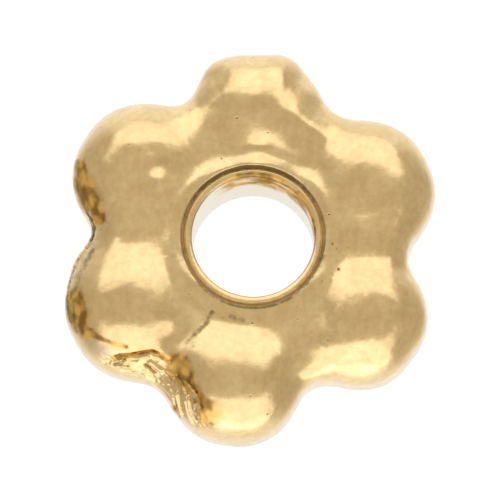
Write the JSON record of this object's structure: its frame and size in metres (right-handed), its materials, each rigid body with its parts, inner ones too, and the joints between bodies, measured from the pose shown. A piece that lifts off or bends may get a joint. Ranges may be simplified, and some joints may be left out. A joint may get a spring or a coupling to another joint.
{
  "type": "rondelle bead",
  "caption": "Small cast metal rondelle bead in the form of a flower with domed petals, bored through for a thread between larger beads.",
  "frame": {"origin": "middle of the thread hole's axis, half way through the bead's thickness", "axes": "+Z along the thread hole, out of the upper face; +Y towards the petal with the flat tip; +X to the right of it seen from above"},
  "size_m": [0.0061, 0.0065, 0.0022],
  "materials": {
    "gold_plate": "polished gold plate on a cast alloy, worn soft, stained at the gate and the parting flash"
  },
  "bodies": {
    "root": {"flower_bead": "gold_plate"}
  },
  "joints": []
}
